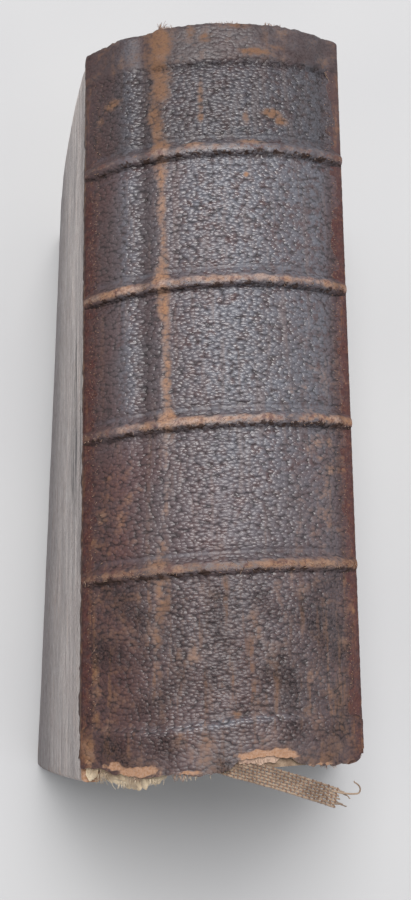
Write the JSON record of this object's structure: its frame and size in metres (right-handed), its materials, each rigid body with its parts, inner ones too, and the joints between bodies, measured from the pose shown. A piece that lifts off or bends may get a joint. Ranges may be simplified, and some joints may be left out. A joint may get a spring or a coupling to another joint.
{
  "type": "leather-bound breviary",
  "caption": "Old thick leather-bound prayer book with raised bands, worn spine and torn tail, standing on its fore-edge; both covers open.",
  "frame": {"origin": "middle of the whole book on the table that it stands on", "axes": "+Y from the tail to the head, +Z from the fore-edge up to the spine, +X from the back cover to the front cover"},
  "size_m": [0.0772, 0.1556, 0.1082],
  "materials": {
    "leather": "satin",
    "paper": "matte",
    "cloth": "matte",
    "board": "matte"
  },
  "bodies": {
    "page_block": {"text_block": "paper", "front_flyleaf": "paper", "back_flyleaf": "paper", "spine_lining": "cloth", "band_cord_1": "cloth", "band_cord_2": "cloth", "band_cord_3": "cloth", "band_cord_4": "cloth", "head_band": "cloth", "tail_band": "cloth", "spine_leather": "leather"},
    "front_cover": {"front_board": "board", "front_cover_leather": "leather", "front_pastedown": "paper"},
    "back_cover": {"back_board": "board", "back_cover_leather": "leather", "back_pastedown": "paper"}
  },
  "joints": [
    {"name": "front_joint", "type": "hinge", "parent": "page_block", "child": "front_cover", "pos_m": [0.0318, 0, 0.097], "axis": [0, -1, 0], "range_deg": [0, 165]},
    {"name": "back_joint", "type": "hinge", "parent": "page_block", "child": "back_cover", "pos_m": [-0.0206, 0, 0.097], "axis": [0, 1, 0], "range_deg": [0, 165]}
  ]
}
